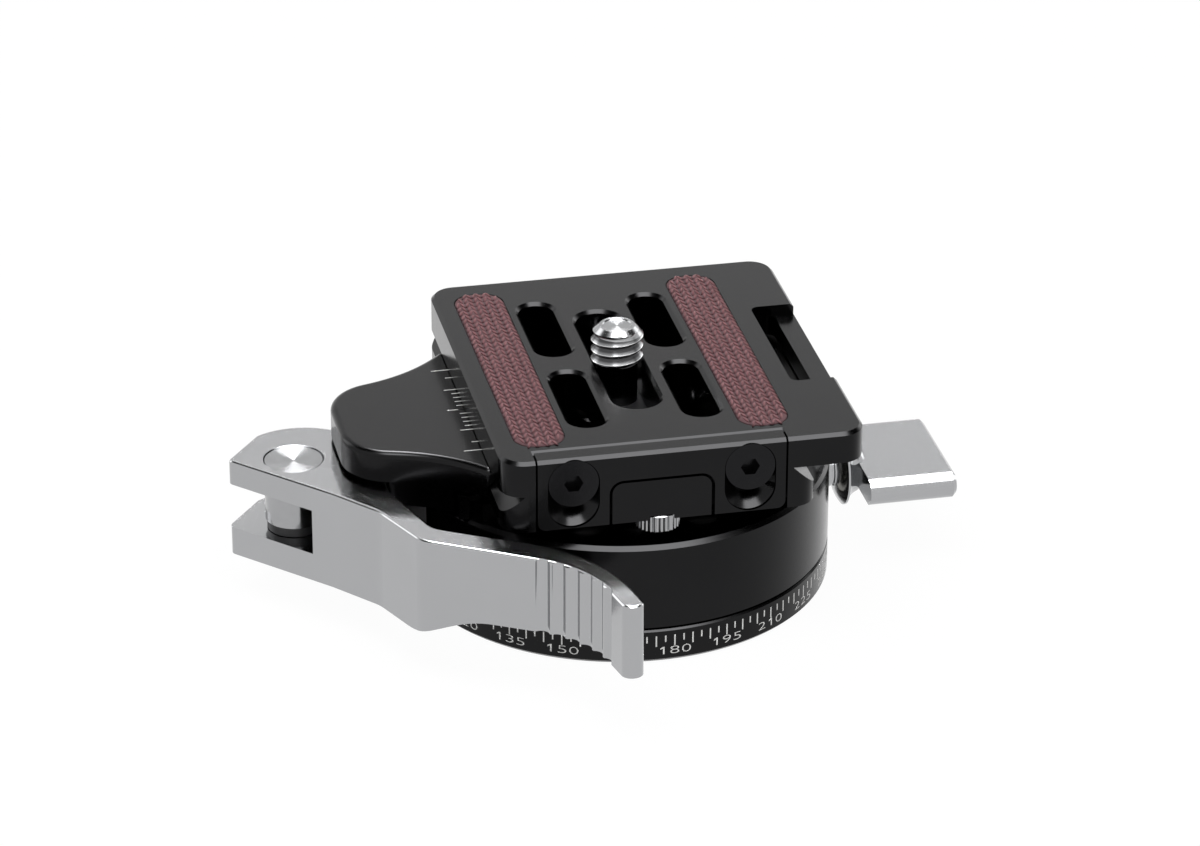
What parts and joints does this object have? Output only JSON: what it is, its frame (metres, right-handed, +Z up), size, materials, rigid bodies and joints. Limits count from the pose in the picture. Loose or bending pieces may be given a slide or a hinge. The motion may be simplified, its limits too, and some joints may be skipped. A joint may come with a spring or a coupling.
{
  "type": "panoramic tripod head",
  "caption": "Panning tripod base with a lever-clamped dovetail and a slotted camera plate with a sliding screw.",
  "frame": {"origin": "on the pan axis, at the mouth of the tripod thread in the base's underside", "axes": "+Z up along the pan axis, +X towards the pan lock knob, -Y towards the anti-twist flange"},
  "size_m": [0.0886, 0.0705, 0.0321],
  "materials": {
    "black_anodised": "satin black anodised",
    "satin_aluminium": "satin silver, bead blasted and anodised",
    "bare_aluminium": "turned",
    "steel": "machined",
    "polished_steel": "polished",
    "black_steel": "black oxide",
    "brass": "turned",
    "black_plastic": "matte",
    "pad_rubber": "moulded braid, matte"
  },
  "bodies": {
    "base": {"base_ring": "black_anodised", "tripod_insert": "steel", "spindle": "bare_aluminium", "spindle_screws": "steel", "thrust_washer": "black_plastic", "retainer_plate": "bare_aluminium", "retainer_screws": "steel", "glide_washer": "black_plastic"},
    "head": {"drum": "black_anodised", "knob_bush": "brass", "clamp_bed": "black_anodised", "bed_screws": "steel", "guide_pins": "steel", "draw_bar": "steel", "anchor_dowel": "steel", "pivot_washers": "black_plastic", "jaw_spring": "steel"},
    "shoe": {"brake_shoe": "black_plastic"},
    "knob": {"pan_knob": "satin_aluminium"},
    "jaw": {"moving_jaw": "black_anodised"},
    "lever": {"clamp_lever": "satin_aluminium", "lever_pin": "polished_steel"},
    "plate": {"camera_plate": "black_anodised", "grip_pads": "pad_rubber", "flange_screws": "black_steel", "stop_screws": "polished_steel"},
    "flange": {"anti_twist_flange": "black_anodised"},
    "screw_slider": {"screw_clip": "black_plastic"},
    "screw": {"camera_screw": "polished_steel"}
  },
  "joints": [
    {"name": "pan_turn", "type": "hinge", "parent": "base", "child": "head", "pos_m": [0, 0, 0], "axis": [0, 0, 1], "continuous": true},
    {"name": "knob_turn", "type": "hinge", "parent": "head", "child": "knob", "pos_m": [0, 0, 0.01], "axis": [1, 0, 0], "range_deg": [0, 180]},
    {"name": "shoe_slide", "type": "slide", "parent": "head", "child": "shoe", "axis": [1, 0, 0], "range_m": [0, 0.00025]},
    {"name": "lever_swing", "type": "hinge", "parent": "head", "child": "lever", "pos_m": [-0.04, 0, 0], "axis": [0, 0, -1], "range_deg": [0, 100]},
    {"name": "jaw_slide", "type": "slide", "parent": "head", "child": "jaw", "axis": [-1, 0, 0], "range_m": [0, 0.0017]},
    {"name": "plate_slide", "type": "slide", "parent": "head", "child": "plate", "axis": [0, 1, 0], "range_m": [-0.0028, 0.0028]},
    {"name": "flange_rise", "type": "slide", "parent": "plate", "child": "flange", "axis": [0, 0, 1], "range_m": [0, 0.0026]},
    {"name": "screw_slide", "type": "slide", "parent": "plate", "child": "screw_slider", "axis": [0, 1, 0], "range_m": [-0.0108, 0.0108]},
    {"name": "screw_turn", "type": "hinge", "parent": "screw_slider", "child": "screw", "pos_m": [0, 0.00045, 0], "axis": [0, 0, 1], "continuous": true}
  ],
  "couplings": [
    {"joint": "jaw_slide", "follows": "lever_swing", "m_per_rad": 0.000974},
    {"joint": "shoe_slide", "follows": "knob_turn", "m_per_rad": 0.0000795}
  ]
}
